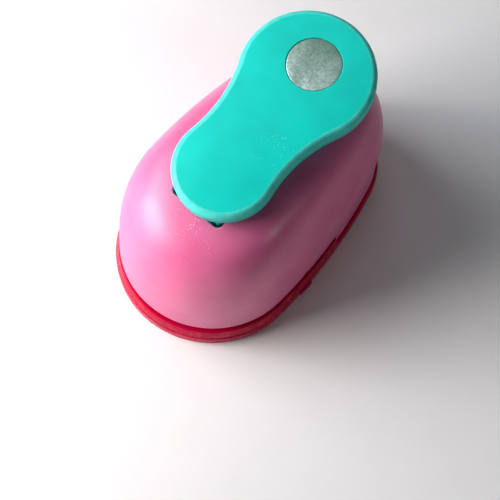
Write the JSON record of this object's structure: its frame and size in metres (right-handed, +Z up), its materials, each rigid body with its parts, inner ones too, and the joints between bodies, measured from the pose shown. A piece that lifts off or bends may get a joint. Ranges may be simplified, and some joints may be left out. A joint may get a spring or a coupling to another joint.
{
  "type": "hole punch",
  "caption": "Hand-pressed craft hole punch: domed oval shell, rocking thumb lever, steel punch and die behind a front paper slot, snap-off chip tray.",
  "frame": {"origin": "middle of the foot: the centre of the chip tray's flat underside, under the middle of the body's outline", "axes": "+Z up; +Y towards the rear, where the thumb end of the lever is; -Y towards the paper slot; +X to the right seen from the front of the slot looking along +Y"},
  "size_m": [0.0414, 0.067, 0.0456],
  "materials": {
    "pink_shell": "satin moulded, slightly translucent",
    "teal_lever": "satin moulded",
    "crimson_base": "clear tinted, moulded",
    "crimson_tray": "frosted tinted, moulded",
    "badge_metal": "blasted",
    "steel": "ground and hardened",
    "zinc_plated": "bright zinc plate",
    "spring_steel": "drawn wire",
    "zinc_casting": "as die-cast",
    "white_acetal": "moulded"
  },
  "bodies": {
    "body": {"top_shell": "pink_shell", "punch_frame": "zinc_casting", "guide_plate": "steel", "throat_spacer": "steel", "die_plate": "steel", "base_frame": "crimson_base", "guide_dowels": "steel", "die_screws": "zinc_plated", "shell_screws": "zinc_plated", "lever_pin": "steel", "pin_clip": "spring_steel", "spring_washer": "zinc_plated", "return_spring": "spring_steel"},
    "thumb_lever": {"lever": "teal_lever", "lever_badge": "badge_metal", "press_roller": "steel", "roller_pin": "steel"},
    "plunger": {"male_punch": "steel", "punch_cap": "white_acetal", "cap_screw": "zinc_plated"},
    "tray": {"chip_tray": "crimson_tray"}
  },
  "joints": [
    {"name": "lever_hinge", "type": "hinge", "parent": "body", "child": "thumb_lever", "pos_m": [0, -0.0175, 0.025], "axis": [-1, 0, 0], "range_deg": [0, 11], "stiffness_Nm_per_rad": 0.18, "springref_deg": -21.49},
    {"name": "punch_slide", "type": "slide", "parent": "body", "child": "plunger", "axis": [0, 0, -1], "range_m": [0, 0.0032], "deforming": ["return_spring"]},
    {"name": "tray_slide", "type": "slide", "parent": "body", "child": "tray", "axis": [0, 0, -1], "range_m": [0, 0.02]}
  ],
  "couplings": [
    {"joint": "punch_slide", "follows": "lever_hinge", "m_per_rad": 0.016}
  ]
}
